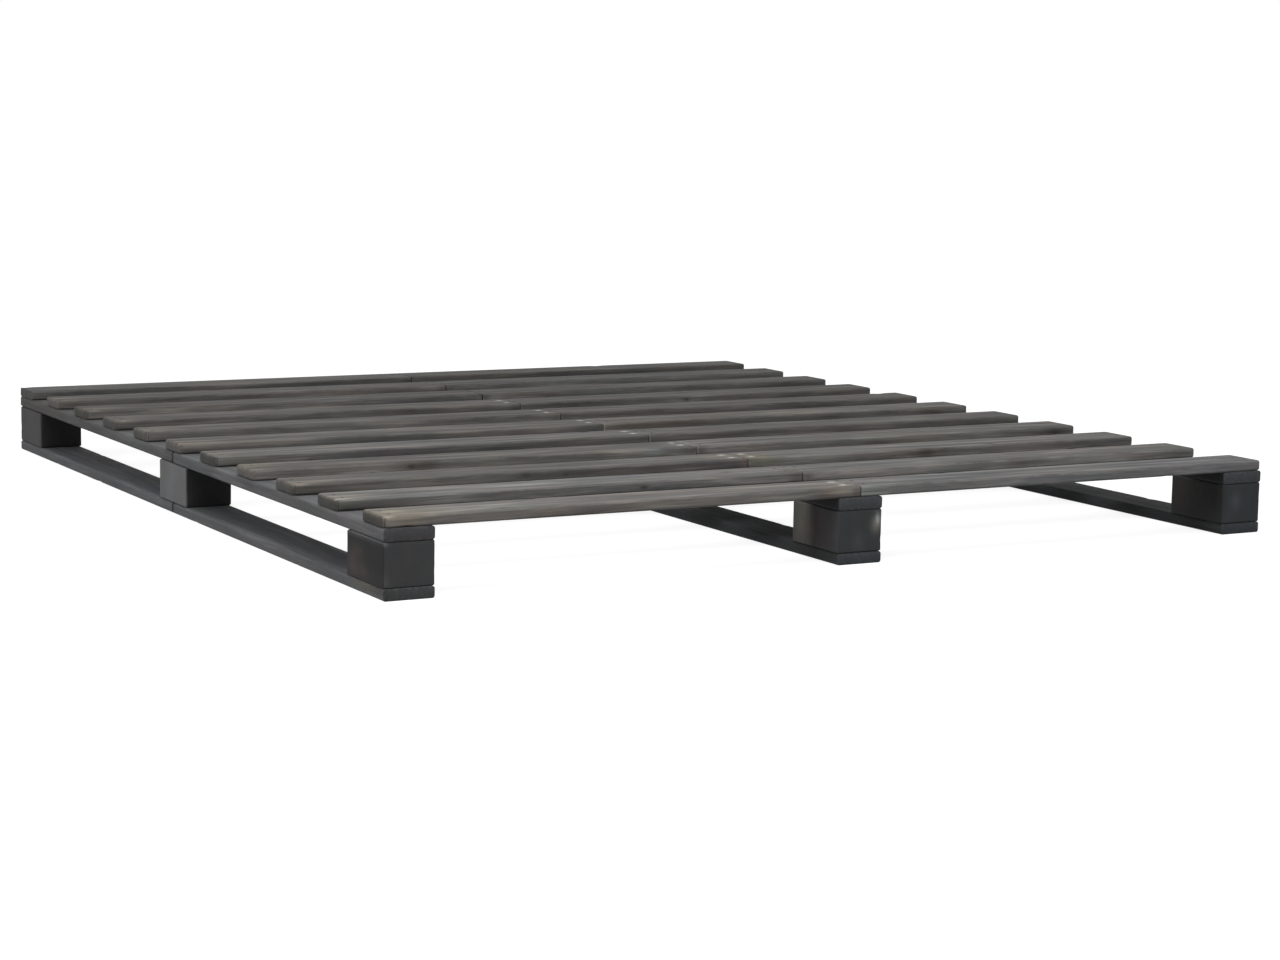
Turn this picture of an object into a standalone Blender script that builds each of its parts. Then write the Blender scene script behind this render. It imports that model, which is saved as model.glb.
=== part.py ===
# Pallet bed for a 180 x 200 cm mattress, in grey-stained pine.
# Three skids of boards and blocks run from front to back. Eleven rows of slats lie
# across them, and each row is two half slats that meet over the middle skid.
# Metres, +Z up. The origin is on the floor under the middle of the bed, X runs along
# the slats, Y along the skids, and the front of the bed faces -Y.
import math

import bmesh
import bpy
from mathutils import Matrix

# Whole bed
bed_width = 1.800
bed_length = 2.000
seat_gap = 0.0003  # kept between two faces that touch

# Slats
slat_rows = 11
slat_width = 0.090
slat_thickness = 0.019
slat_easing = 0.004  # radius of the rounded edges
slat_joint = 0.002  # open joint between the two halves of a row

# Skid boards: the runs above the blocks are a little thicker than those below
board_width = 0.090
bottom_board_thickness = 0.020
top_board_thickness = 0.022
board_easing = 0.003
board_joint = 0.003  # open joint over and under the middle block

# Blocks, three to a skid, flush with the boards at the sides and the ends
block_width = board_width
block_length = 0.150
block_height = 0.075
block_easing = 0.002

# Countersunk holes for the slat screws, the same at both ends of every half slat
slat_screw_shank = 0.0040
slat_screw_head = 0.0080
slat_screw_sink = 0.0005  # head below the face of the slat
slat_screw_from_end = 0.020
slat_screw_from_side = 0.027
slat_screw_cover = 0.0025  # wood left under the tip in the top board

# Skid screws, driven from below through bottom board and block into the top board
skid_screw_shank = 0.0060
skid_screw_head = 0.0120
skid_screw_sink = 0.0010
skid_screw_cover = 0.0050  # wood left over the tip in the top board

# Shared by both kinds of screw
screw_point = 0.004  # length of the pointed end
screw_clearance = 0.0003  # all round a screw in its hole
cut_overrun = 0.002  # how far a cutter stands out of the wood
weld_distance = 0.00001
easing_segments = 2
screw_sides = 8
screw_crease = math.radians(50)  # edges sharper than this stay sharp when shaded smooth

# Linear colours of the stain on each kind of timber, and of the zinc on the screws
slat_colour = (0.180, 0.174, 0.166)
board_colour = (0.098, 0.100, 0.104)
block_colour = (0.066, 0.061, 0.056)
zinc_colour = (0.480, 0.490, 0.500)
tone_spread_share = 0.12  # how much lighter or darker one piece is than the next
stain_roughness = 0.62
zinc_roughness = 0.35

# Heights of the layers, from the floor up
bottom_board_base = 0
block_base = bottom_board_base + bottom_board_thickness + seat_gap
top_board_base = block_base + block_height + seat_gap
slat_base = top_board_base + top_board_thickness + seat_gap
deck_height = slat_base + slat_thickness

# Lengths and places that follow from the driving sizes
half_slat_length = (bed_width - slat_joint) / 2
half_board_length = (bed_length - board_joint) / 2
slat_pitch = (bed_length - slat_width) / (slat_rows - 1)
skid_places = {"left": (board_width - bed_width) / 2, "middle": 0, "right": (bed_width - board_width) / 2}
end_block_place = (bed_length - block_length) / 2
block_places = {"front": -end_block_place, "middle": 0, "back": end_block_place}
half_places = {"front": -1, "back": 1}
side_places = {"left": -1, "right": 1}


def empty_scene():
    for leftover in list(bpy.data.objects):
        bpy.data.objects.remove(leftover, do_unlink=True)


def new_collection(name):
    collection = bpy.data.collections.new(name)
    bpy.context.scene.collection.children.link(collection)
    return collection


def new_carrier(name, place, collection):
    carrier = bpy.data.objects.new(name, None)
    carrier.location = place
    collection.objects.link(carrier)
    return carrier


# A plain finish for one piece. Each timber takes the stain a little differently.
def give_finish(mesh, kind, colour, roughness, metallic, tone=1):
    finish = bpy.data.materials.new(f"{kind} of {mesh.name}")
    finish.use_nodes = True
    shader = finish.node_tree.nodes["Principled BSDF"]
    shader.inputs["Base Color"].default_value = (*[tone * channel for channel in colour], 1)
    shader.inputs["Roughness"].default_value = roughness
    shader.inputs["Metallic"].default_value = metallic
    mesh.materials.append(finish)


# Tones spread evenly over a set of pieces, without a pattern that repeats
def tone_of(count):
    golden_share = (math.sqrt(5) - 1) / 2
    return 1 + tone_spread_share * (2 * ((count * golden_share) % 1) - 1)


# A squared length of timber with eased edges, centred on its place
def timber(name, size, easing, place, carrier, collection):
    shape = bmesh.new()
    bmesh.ops.create_cube(shape, size=1)
    bmesh.ops.scale(shape, vec=size, verts=shape.verts)
    mesh = bpy.data.meshes.new(name)
    shape.to_mesh(mesh)
    shape.free()
    piece = bpy.data.objects.new(name, mesh)
    piece.parent = carrier
    piece.location = place
    collection.objects.link(piece)
    rounding = piece.modifiers.new("eased edges", "BEVEL")
    rounding.width = easing
    rounding.segments = easing_segments
    rounding.limit_method = "NONE"
    return piece


# A solid of revolution about Z, from a profile that runs down its outer side
def turned_mesh(name, profile):
    outline = bmesh.new()
    points = [outline.verts.new((radius, 0, height)) for radius, height in profile]
    for upper, lower in zip(points, points[1:]):
        outline.edges.new((upper, lower))
    mesh = bpy.data.meshes.new(name)
    outline.to_mesh(mesh)
    outline.free()
    lathe = bpy.data.objects.new(name, mesh)
    bpy.context.scene.collection.objects.link(lathe)
    turning = lathe.modifiers.new("turned", "SCREW")
    turning.axis = "Z"
    turning.steps = screw_sides
    turning.render_steps = screw_sides
    turning.use_merge_vertices = True
    turning.merge_threshold = weld_distance
    graph = bpy.context.evaluated_depsgraph_get()
    turned = bpy.data.meshes.new_from_object(lathe.evaluated_get(graph), depsgraph=graph)
    bpy.data.objects.remove(lathe)
    return turned


# Outline of a countersunk screw whose head points up and sits under the face at zero.
# A countersunk head is a 90 degree cone, as deep as it overhangs the shank.
def screw_profile(shank, head, sink, reach):
    cone = (head - shank) / 2
    return [
        (0, -sink),
        (head / 2, -sink),
        (shank / 2, -sink - cone),
        (shank / 2, screw_point - reach),
        (0, -reach),
    ]


# The hole for the same screw, with its clearance, running out through the face
def hole_profile(shank, head, sink, reach):
    cone = (head - shank) / 2
    mouth = head / 2 + sink + cut_overrun + screw_clearance
    return [
        (0, cut_overrun),
        (mouth, cut_overrun),
        (shank / 2 + screw_clearance, -sink - cone),
        (shank / 2 + screw_clearance, screw_point - reach),
        (0, -reach - screw_clearance),
    ]


# One cutter that holds a hole for every screw of a kind
def hole_cutter(name, profile, stands, collection):
    hole = turned_mesh(name, profile)
    gathered = bmesh.new()
    for stand in stands:
        single = hole.copy()
        single.transform(stand)
        gathered.from_mesh(single)
        bpy.data.meshes.remove(single)
    mesh = bpy.data.meshes.new(name)
    gathered.to_mesh(mesh)
    gathered.free()
    cutter = bpy.data.objects.new(name, mesh)
    cutter.hide_render = True
    cutter.display_type = "WIRE"
    collection.objects.link(cutter)
    return cutter


def drill(piece, cutter):
    drilling = piece.modifiers.new(cutter.name, "BOOLEAN")
    drilling.operation = "DIFFERENCE"
    drilling.solver = "EXACT"
    drilling.object = cutter


def row_place(row):
    return (row - (slat_rows - 1) / 2) * slat_pitch


# Where the slat screws stand: two at each end of every half slat
def slat_screw_stands():
    outer = bed_width / 2 - slat_screw_from_end
    inner = slat_joint / 2 + slat_screw_from_end
    beside = slat_width / 2 - slat_screw_from_side
    return [
        Matrix.Translation((side * across, row_place(row) + edge * beside, deck_height))
        for row in range(slat_rows)
        for side in side_places.values()
        for across in (outer, inner)
        for edge in (-1, 1)
    ]


# Where the skid screws stand: one at each end of every half board, under its block
def skid_screw_places():
    inner = block_length / 4
    places = {}
    for skid, across in skid_places.items():
        for end, along in half_places.items():
            places[f"{skid}_{end}_outer"] = (across, along * end_block_place)
            places[f"{skid}_{end}_inner"] = (across, along * inner)
    return places


def make_skid(skid, across, slat_holes, skid_holes, bed):
    carrier = new_carrier(f"skid_{skid}", (across, 0, 0), bed)
    bottom_size = (board_width, half_board_length, bottom_board_thickness)
    top_size = (board_width, half_board_length, top_board_thickness)
    block_size = (block_width, block_length, block_height)
    pieces = []
    for end, along in half_places.items():
        middle = along * (board_joint + half_board_length) / 2
        low = (0, middle, bottom_board_base + bottom_board_thickness / 2)
        high = (0, middle, top_board_base + top_board_thickness / 2)
        bottom = timber(f"bottom_board_{skid}_{end}", bottom_size, board_easing, low, carrier, bed)
        top = timber(f"top_board_{skid}_{end}", top_size, board_easing, high, carrier, bed)
        drill(bottom, skid_holes)
        drill(top, skid_holes)
        drill(top, slat_holes)
        pieces += [(bottom, board_colour), (top, board_colour)]
    for name, along in block_places.items():
        place = (0, along, block_base + block_height / 2)
        block = timber(f"block_{skid}_{name}", block_size, block_easing, place, carrier, bed)
        drill(block, skid_holes)
        pieces.append((block, block_colour))
    return pieces


def make_deck(slat_holes, bed):
    carrier = new_carrier("slat_deck", (0, 0, slat_base), bed)
    slat_size = (half_slat_length, slat_width, slat_thickness)
    pieces = []
    for row in range(slat_rows):
        for side, across in side_places.items():
            place = (across * (slat_joint + half_slat_length) / 2, row_place(row), slat_thickness / 2)
            slat = timber(f"slat_{row + 1:02d}_{side}", slat_size, slat_easing, place, carrier, bed)
            drill(slat, slat_holes)
            pieces.append((slat, slat_colour))
    return pieces


def make_skid_screws(reach, bed):
    profile = screw_profile(skid_screw_shank, skid_screw_head, skid_screw_sink, reach)
    mesh = turned_mesh("skid_screw", profile)
    mesh.shade_smooth()
    mesh.set_sharp_from_angle(angle=screw_crease)
    give_finish(mesh, "zinc plated steel", zinc_colour, zinc_roughness, 1)
    for name, (across, along) in skid_screw_places().items():
        screw = bpy.data.objects.new(f"skid_screw_{name}", mesh)
        screw.location = (across, along, 0)
        screw.rotation_euler = (math.pi, 0, 0)
        bed.objects.link(screw)


def main():
    empty_scene()
    bed = new_collection("pallet_bed")
    cutters = new_collection("cutters")

    slat_reach = deck_height - top_board_base - slat_screw_cover
    slat_profile = hole_profile(slat_screw_shank, slat_screw_head, slat_screw_sink, slat_reach)
    slat_holes = hole_cutter("slat_screw_holes", slat_profile, slat_screw_stands(), cutters)

    skid_reach = top_board_base + top_board_thickness - skid_screw_cover
    skid_profile = hole_profile(skid_screw_shank, skid_screw_head, skid_screw_sink, skid_reach)
    skid_stands = [
        Matrix.Translation((across, along, 0)) @ Matrix.Rotation(math.pi, 4, "X")
        for across, along in skid_screw_places().values()
    ]
    skid_holes = hole_cutter("skid_screw_holes", skid_profile, skid_stands, cutters)

    timbers = make_deck(slat_holes, bed)
    for skid, across in skid_places.items():
        timbers += make_skid(skid, across, slat_holes, skid_holes, bed)
    for count, (piece, colour) in enumerate(timbers):
        give_finish(piece.data, "stained pine", colour, stain_roughness, 0, tone_of(count))
    make_skid_screws(skid_reach, bed)


main()
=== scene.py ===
import math
import random

import bmesh
import bpy
import numpy as np
from mathutils import Matrix, Vector


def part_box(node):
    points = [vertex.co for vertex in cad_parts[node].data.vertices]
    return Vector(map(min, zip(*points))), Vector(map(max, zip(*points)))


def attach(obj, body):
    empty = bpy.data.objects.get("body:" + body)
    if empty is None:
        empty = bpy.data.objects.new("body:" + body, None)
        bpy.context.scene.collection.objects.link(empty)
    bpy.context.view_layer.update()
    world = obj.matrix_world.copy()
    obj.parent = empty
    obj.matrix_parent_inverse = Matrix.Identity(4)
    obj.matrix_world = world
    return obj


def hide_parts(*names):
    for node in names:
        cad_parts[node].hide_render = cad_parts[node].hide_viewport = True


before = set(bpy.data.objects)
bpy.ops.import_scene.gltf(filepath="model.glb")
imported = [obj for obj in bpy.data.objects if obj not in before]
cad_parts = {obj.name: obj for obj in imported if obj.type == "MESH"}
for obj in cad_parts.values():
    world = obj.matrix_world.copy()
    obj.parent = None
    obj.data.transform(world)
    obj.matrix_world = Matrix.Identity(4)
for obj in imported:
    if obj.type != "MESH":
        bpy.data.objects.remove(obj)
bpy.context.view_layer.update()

# Pallet bed in grey-stained pine: eleven rows of slats on three skids of boards and blocks.
# Every timber is built again from its CAD box as a finer piece with worn edges, real
# countersunk holes, growth rings, knots and stain. Metres, with lengths of detail in mm.
scene = bpy.context.scene
mm = 0.001
slatNodes = sorted(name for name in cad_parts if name.startswith("slat_"))
rows = len(slatNodes) // 2


def toLinear(hexColour):
    channels = [int(hexColour[place:place + 2], 16) / 255 for place in (1, 3, 5)]
    return (*[c / 12.92 if c <= 0.04045 else ((c + 0.055) / 1.055) ** 2.4 for c in channels], 1)


# Adds one node. An input is given by its name or number, as a value or as the socket to link.
# Stops are the places and grey levels of a colour ramp, in order.
def addNode(tree, kind, inputs=None, stops=(), **settings):
    node = tree.nodes.new("ShaderNode" + kind)
    for setting, value in settings.items():
        setattr(node, setting, value)
    for socket, value in (inputs or {}).items():
        if isinstance(value, bpy.types.NodeSocket):
            tree.links.new(value, node.inputs[socket])
        else:
            node.inputs[socket].default_value = value
    for stop in stops[2:]:
        node.color_ramp.elements.new(stop[0])
    for number, (place, level) in enumerate(stops):
        node.color_ramp.elements[number].position = place
        node.color_ramp.elements[number].color = (level, level, level, 1)
    return node


# A new material with its node tree and its shader
def newFinish(name):
    finish = bpy.data.materials.new(name)
    finish.use_nodes = True
    return finish, finish.node_tree, finish.node_tree.nodes["Principled BSDF"]


# Pine, sawn and planed, wiped with a matt grey water stain. The eye sees growth rings as
# fine darker lines, short fibres, long uneven streaks where the stain took more or less,
# small dark knots with the grain bent round them, and edges rubbed paler.
def stainedPine(name, look):
    finish, tree, shader = newFinish(name)
    perMetre = 1 / mm

    # What giveFields wrote at every point
    field = {}
    for label in ("logPlace", "knotPlace", "stainAndPaintedLight"):
        field[label] = addNode(tree, "Attribute", attribute_name=label).outputs["Vector"]
    for label in ("knotReach", "edgeWear", "endGrain"):
        field[label] = addNode(tree, "Attribute", attribute_name=label).outputs["Fac"]

    # A noise for each scale of figure, long along the grain and narrow across it
    figure = {}
    for part in ("wobble", "fibres", "streaks", "blotches", "rubbing"):
        along, across, detail = look[part]
        stretch = (perMetre / along, perMetre / across, perMetre / across)
        place = addNode(tree, "VectorMath", {0: field["logPlace"], 1: stretch}, operation="MULTIPLY")
        figure[part] = addNode(tree, "TexNoise", {
            "Vector": place.outputs[0], "Scale": 1, "Detail": detail,
            "Roughness": look["ruggedness"]}).outputs

    # How much each figure counts, between two levels of its noise
    counts = {}
    for part, source, least, most in (
            ("took", "blotches", 0, 1), ("pale", "streaks", 0, look["paleShare"]),
            ("streak", "streaks", -look["streakShade"], look["streakLift"] * look["streakShade"]),
            ("fibre", "fibres", -look["fibreShade"], look["fibreShade"]),
            ("rubbed", "rubbing", 0, look["wornShare"])):
        low, high = look["levels"][part]
        counts[part] = addNode(tree, "MapRange", {
            0: figure[source]["Fac"], 1: low, 2: high, 3: least, 4: most}).outputs[0]

    # How far the nearest knot is, in its radii, and how strongly it bends the rings there
    squeezed = (1 / look["knotStretch"], 1, 1)
    knotFlat = addNode(tree, "VectorMath", {0: field["knotPlace"], 1: squeezed}, operation="MULTIPLY")
    knotWay = addNode(tree, "VectorMath", {0: knotFlat.outputs[0]}, operation="LENGTH").outputs["Value"]
    bulge = knotWay
    for operation, other in (("MULTIPLY", knotWay), ("MULTIPLY", -look["bulgeFall"]), ("EXPONENT", 0),
                             ("MULTIPLY", field["knotReach"])):
        bulge = addNode(tree, "Math", {0: bulge, 1: other}, operation=operation).outputs[0]

    # Growth rings: the way out from the pith, made uneven, over the width of a ring
    parts = addNode(tree, "SeparateXYZ", {0: field["logPlace"]}).outputs
    flat = addNode(tree, "CombineXYZ", {1: parts[1], 2: parts[2]})
    radius = addNode(tree, "VectorMath", {0: flat.outputs[0]}, operation="LENGTH").outputs["Value"]
    for shift, depth in ((figure["wobble"]["Fac"], look["wobbleDepth"]), (bulge, -look["knotBulge"])):
        radius = addNode(tree, "Math", {0: shift, 1: depth * mm, 2: radius},
                         operation="MULTIPLY_ADD").outputs[0]
    rings = addNode(tree, "Math", {0: radius, 1: perMetre / look["ringWidth"]}, operation="MULTIPLY")
    phase = addNode(tree, "Math", {0: rings.outputs[0]}, operation="FRACT").outputs[0]
    lateWood = addNode(tree, "ValToRGB", {0: phase}, look["ringShape"]).outputs[0]

    # The stain: cool where it lies thick, warm where the wood shows through, never one grey,
    # and even on end grain
    calm = addNode(tree, "Math", {0: field["endGrain"], 1: -look["endCalm"], 2: 1},
                   operation="MULTIPLY_ADD").outputs[0]
    cool, warm = toLinear(look["coolStain"]), toLinear(look["warmStain"])
    stain = addNode(tree, "Mix", {0: counts["took"], 6: cool, 7: warm}, data_type="RGBA").outputs[2]
    pale = addNode(tree, "Math", {0: counts["pale"], 1: calm}, operation="MULTIPLY")
    stain = addNode(tree, "Mix", {0: pale.outputs[0], 6: stain, 7: toLinear(look["paleStreak"])},
                    data_type="RGBA").outputs[2]
    drift = look["hueDrift"]
    hue = addNode(tree, "VectorMath", {0: figure["blotches"]["Color"], 1: (drift,) * 3,
                                       2: (1 - drift / 2,) * 3}, operation="MULTIPLY_ADD").outputs[0]
    stain = addNode(tree, "VectorMath", {0: stain, 1: hue}, operation="MULTIPLY").outputs[0]

    # Lighter and darker: streaks and fibres, then rings and ends
    shift = addNode(tree, "Math", {0: counts["streak"], 1: counts["fibre"]}).outputs[0]
    level = addNode(tree, "Math", {0: shift, 1: calm, 2: 1}, operation="MULTIPLY_ADD").outputs[0]
    lateShade = addNode(tree, "Math", {0: lateWood, 1: calm}, operation="MULTIPLY").outputs[0]
    for source, shade in ((lateShade, look["ringShade"]), (field["endGrain"], look["endShade"])):
        part = addNode(tree, "Math", {0: source, 1: -shade, 2: 1}, operation="MULTIPLY_ADD").outputs[0]
        level = addNode(tree, "Math", {0: level, 1: part}, operation="MULTIPLY").outputs[0]
    stain = addNode(tree, "VectorMath", {0: stain, "Scale": level}, operation="SCALE").outputs[0]

    # Edges rubbed back towards bare wood, in patches
    rubbed = addNode(tree, "Math", {0: counts["rubbed"], 1: field["edgeWear"]}, operation="MULTIPLY")
    stain = addNode(tree, "Mix", {0: rubbed.outputs[0], 6: stain, 7: toLinear(look["wornEdge"])},
                    data_type="RGBA").outputs[2]
    # The tint carries the stain's tone and also the painted highlights and painted shade
    stain = addNode(tree, "VectorMath", {0: stain, 1: field["stainAndPaintedLight"]}, operation="MULTIPLY").outputs[0]

    # Knots: a dark heart with a ragged, darker rim, and a shade that runs out into the grain
    ragged = addNode(tree, "Math", {0: figure["rubbing"]["Fac"], 1: look["knotRag"], 2: knotWay},
                     operation="MULTIPLY_ADD").outputs[0]
    low, high = look["heartEnds"]
    heart = addNode(tree, "MapRange", {0: ragged, 1: low, 2: high, 3: 1, 4: 0},
                    interpolation_type="SMOOTHSTEP").outputs[0]
    heart = addNode(tree, "Math", {0: heart, 1: field["knotReach"]}, operation="MULTIPLY").outputs[0]
    low, high = look["rimStarts"]
    rim = addNode(tree, "MapRange", {0: ragged, 1: low, 2: high, 4: look["rimShare"]}).outputs[0]
    dark, darkest = toLinear(look["knotHeart"]), toLinear(look["knotRim"])
    wood = addNode(tree, "Mix", {0: rim, 6: dark, 7: darkest}, data_type="RGBA").outputs[2]
    halo = addNode(tree, "Math", {0: bulge, 1: look["knotHalo"]}, operation="MULTIPLY").outputs[0]
    stain = addNode(tree, "Mix", {0: halo, 6: stain, 7: dark}, data_type="RGBA").outputs[2]
    stain = addNode(tree, "Mix", {0: heart, 6: stain, 7: wood}, data_type="RGBA").outputs[2]
    tree.links.new(stain, shader.inputs["Base Color"])

    # Matt all over, a little smoother on late wood
    rough = look["roughness"]
    for source, change in ((lateWood, -look["lateSmooth"]), (figure["fibres"]["Fac"], look["fibreRough"])):
        rough = addNode(tree, "Math", {0: source, 1: change, 2: rough}, operation="MULTIPLY_ADD").outputs[0]
    tree.links.new(rough, shader.inputs["Roughness"])
    # Where the tint is darkest it shines even less. Only the boards' finish lowers it, and there
    # the darkest tint is the painted shade under the deck, which this deepens.
    coat = addNode(tree, "VectorMath", {0: field["stainAndPaintedLight"]}, operation="LENGTH").outputs["Value"]
    low, high = look["sheenTints"]
    sheen = addNode(tree, "MapRange", {0: coat, 1: low, 2: high, 3: look["darkSheen"], 4: look["sheen"]})
    tree.links.new(sheen.outputs[0], shader.inputs["Specular IOR Level"])

    # Relief: late wood stands a little proud of the early wood, with fibres and saw marks over it
    height = 0
    proud = (lateWood, figure["fibres"]["Fac"], figure["streaks"]["Fac"], heart)
    for source, share in zip(proud, look["reliefShares"]):
        height = addNode(tree, "Math", {0: source, 1: share, 2: height}, operation="MULTIPLY_ADD").outputs[0]
    height = addNode(tree, "Math", {0: height, 1: calm}, operation="MULTIPLY").outputs[0]
    relief = addNode(tree, "Bump", {"Height": height, "Distance": look["relief"] * mm, "Strength": 1})
    tree.links.new(relief.outputs[0], shader.inputs["Normal"])
    return finish


# Zinc-plated steel, cold-headed. The plating is pale and satin, dulled in patches, and the
# brush has carried the grey stain over the screws at the outer ends.
zincLook = {
    "zinc": "#c9cccb", "dullZinc": "#989c9b", "film": "#3d3c3a",
    "clouds": 1.6, "grainOfFilm": 0.9,  # mm, size of the cloudy plating and of the ragged stain
    "dullLevels": (0.4, 0.66), "filmLevels": (0.72, 0.86), "raggedShare": 0.6,
    "cover": 0.62, "bareCover": (0.1, 0.35), "skidCover": 0.3,  # how much stain lies on a screw
    "roughness": 0.34, "filmRough": 0.3, "dullRough": 0.12,
    "relief": 0.03, "sharpFrom": 35,  # mm and degrees
}


def zincPlatedSteel(name, look):
    finish, tree, shader = newFinish(name)
    place = addNode(tree, "TexCoord").outputs["Object"]
    cover = addNode(tree, "Attribute", attribute_name="stainCover").outputs["Fac"]
    clouds = addNode(tree, "TexNoise", {"Vector": place, "Scale": 1 / (look["clouds"] * mm), "Detail": 3})
    ragged = addNode(tree, "TexNoise", {
        "Vector": place, "Scale": 1 / (look["grainOfFilm"] * mm), "Detail": 2})
    low, high = look["dullLevels"]
    dull = addNode(tree, "MapRange", {0: clouds.outputs["Fac"], 1: low, 2: high}).outputs[0]
    metal = addNode(tree, "Mix", {0: dull, 6: toLinear(look["zinc"]), 7: toLinear(look["dullZinc"])},
                    data_type="RGBA").outputs[2]
    film = addNode(tree, "Math", {0: ragged.outputs["Fac"], 1: look["raggedShare"], 2: cover},
                   operation="MULTIPLY_ADD")
    low, high = look["filmLevels"]
    film = addNode(tree, "MapRange", {0: film.outputs[0], 1: low, 2: high},
                   interpolation_type="SMOOTHSTEP").outputs[0]
    colour = addNode(tree, "Mix", {0: film, 6: metal, 7: toLinear(look["film"])}, data_type="RGBA")
    tree.links.new(colour.outputs[2], shader.inputs["Base Color"])
    bare = addNode(tree, "Math", {0: 1, 1: film}, operation="SUBTRACT").outputs[0]
    tree.links.new(bare, shader.inputs["Metallic"])
    rough = look["roughness"]
    for source, change in ((film, look["filmRough"]), (dull, look["dullRough"])):
        rough = addNode(tree, "Math", {0: source, 1: change, 2: rough}, operation="MULTIPLY_ADD").outputs[0]
    tree.links.new(rough, shader.inputs["Roughness"])
    relief = addNode(tree, "Bump", {"Height": clouds.outputs["Fac"], "Distance": look["relief"] * mm})
    tree.links.new(relief.outputs[0], shader.inputs["Normal"])
    return finish


# A box with rounded edges, as points about its middle and faces. Each axis has even steps
# between the roundings and three more through each of them. The two ends along the grain
# are "eased" like the long edges, "sawn" square with the arris just broken, or "rounded",
# with the upright corners taken off as well.
def roundedBlank(size, look, ends):
    half = np.array(size) / 2
    easing, broken, corner = look["easing"] * mm, look["sawnBreak"] * mm, look["corner"] * mm
    onFace, tipFall = 0.999 * easing, 0.35 * broken  # past here a point is on a face; a sawn tip's wear
    core = half - easing
    through = easing * np.tan(np.radians([15, 30, 45]))
    lines = []
    for reach, step in zip(core, look["steps"]):
        between = np.linspace(-reach, reach, max(2, round(2 * reach / (step * mm)) + 1))
        lines.append(np.concatenate([-(reach + through)[::-1], between, reach + through]))
    last = [len(line) - 1 for line in lines]
    found, points, faces = {}, [], []
    for fixed in range(3):
        first, second = (fixed + 1) % 3, (fixed + 2) % 3
        for side in (0, last[fixed]):
            for one in range(last[first]):
                for two in range(last[second]):
                    quad = []
                    for a, b in ((0, 0), (1, 0), (1, 1), (0, 1)):
                        place = [0, 0, 0]
                        place[fixed], place[first], place[second] = side, one + a, two + b
                        key = tuple(place)
                        if key not in found:
                            found[key] = len(points)
                            points.append([line[p] for line, p in zip(lines, place)])
                        quad.append(found[key])
                    faces.append(quad if side else quad[::-1])
    points = np.array(points)
    inner = np.clip(points, -core, core)
    away = points - inner
    rim = np.zeros(len(points))
    for side, end in zip((-1, 1), ends):
        past = side * points[:, 0] - core[0]
        if end != "sawn":
            continue
        zone = past > 0
        away[zone, 0] = 0
        crept = np.interp(past, [0, through[0], through[1], easing],
                          [0, easing - 3 * broken, easing - broken, easing])
        inner[zone, 0] = side * (core[0] + crept[zone])
        rim[(past > onFace) & (np.abs(away).max(1) > onFace)] = tipFall
    reach = np.abs(away).max(1)
    length = np.linalg.norm(away, axis=1)
    flat = length < 1e-9
    out = away / np.where(flat, 1, length)[:, None]
    out[flat, 0] = np.sign(points[flat, 0])
    places = inner + out * np.where(flat, 0, reach - rim)[:, None]
    places[:, 0] -= np.sign(places[:, 0]) * rim
    for side, end in zip((-1, 1), ends):
        if end != "rounded":
            continue
        along, across = side * places[:, 0] - half[0] + corner, np.abs(places[:, 1]) - half[1] + corner
        both = (along > 0) & (across > 0)
        shrink = np.maximum(along, across)[both] / np.hypot(along, across)[both]
        places[both, 0] = side * (half[0] - corner + along[both] * shrink)
        places[both, 1] = np.sign(places[both, 1]) * (half[1] - corner + across[both] * shrink)
    return places, out, faces


# Smooth unevenness from a few waves in random directions, between -1 and 1
def unevenness(places, lengths, draw):
    total = np.zeros(len(places))
    waves = 5
    for wave in range(waves):
        way = np.array([2 * math.pi * draw.uniform(-1, 1) / length for length in lengths])
        total += np.sin(places @ way + draw.uniform(0, 2 * math.pi))
    return total / waves


# Rubs the edges of a blank down unevenly, dents a few of them and bows it a little.
# Points only ever move inwards, but for the bow, which stays within the bed's own box.
def weather(places, out, half, look, bow, draw):
    # 0 on the faces and 1 half way round an edge
    rounding = np.clip((1 - np.abs(out).max(1)) / (1 - math.sqrt(0.5)), 0, 1)
    rub = 0.5 + 0.5 * unevenness(places, look["rubLengths"] * mm, draw)
    depth = look["rubDepth"] * mm * rub * rounding
    for dent in range(look["dents"]):
        spot = np.array([draw.uniform(-1, 1), draw.choice((-1, 1)), draw.choice((-1, 1))]) * half
        away = np.linalg.norm((places - spot) * look["dentShape"], axis=1)
        size = draw.uniform(*look["dentSize"]) * mm
        depth += look["dentDepth"] * size * np.exp(-(away / size) ** 2)
    places = places - out * depth[:, None]
    places[:, 1] += bow * (1 - (places[:, 0] / half[0]) ** 2)
    return places


# A timber that stands for one CAD node. The grain runs along the axis named first.
def makeTimber(node, axes, look, finish, slot, cutters=(), ends=("eased", "eased"), bow=0, **stain):
    draw = random.Random(node)
    low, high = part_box(node)
    middle = np.array((low + high) / 2)
    size = np.array(high - low)[axes]
    places, out, faces = roundedBlank(size, look, ends)
    places = weather(places, out, size / 2, look, bow, draw)
    if np.linalg.det(np.eye(3)[axes]) < 0:
        faces = [face[::-1] for face in faces]
    back = np.argsort(axes)
    mesh = bpy.data.meshes.new(node + "_wood")
    mesh.from_pydata(places[:, back] + middle, [], faces)
    piece = bpy.data.objects.new(node + "_wood", mesh)
    scene.collection.objects.link(piece)
    for cutter in cutters:
        drill(piece, cutter)
    giveFields(piece.data, middle, axes, size / 2, look, draw, **stain)
    piece.data.shade_smooth()
    piece.data.set_sharp_from_angle(angle=math.radians(look["sharpFrom"]))
    piece.data.materials.append(finish)
    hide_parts(node)
    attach(piece, "root")


facing = {"front": (0, -1, 0), "back": (0, 1, 0), "left": (-1, 0, 0), "right": (1, 0, 0), "under": (0, 0, -1)}
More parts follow.
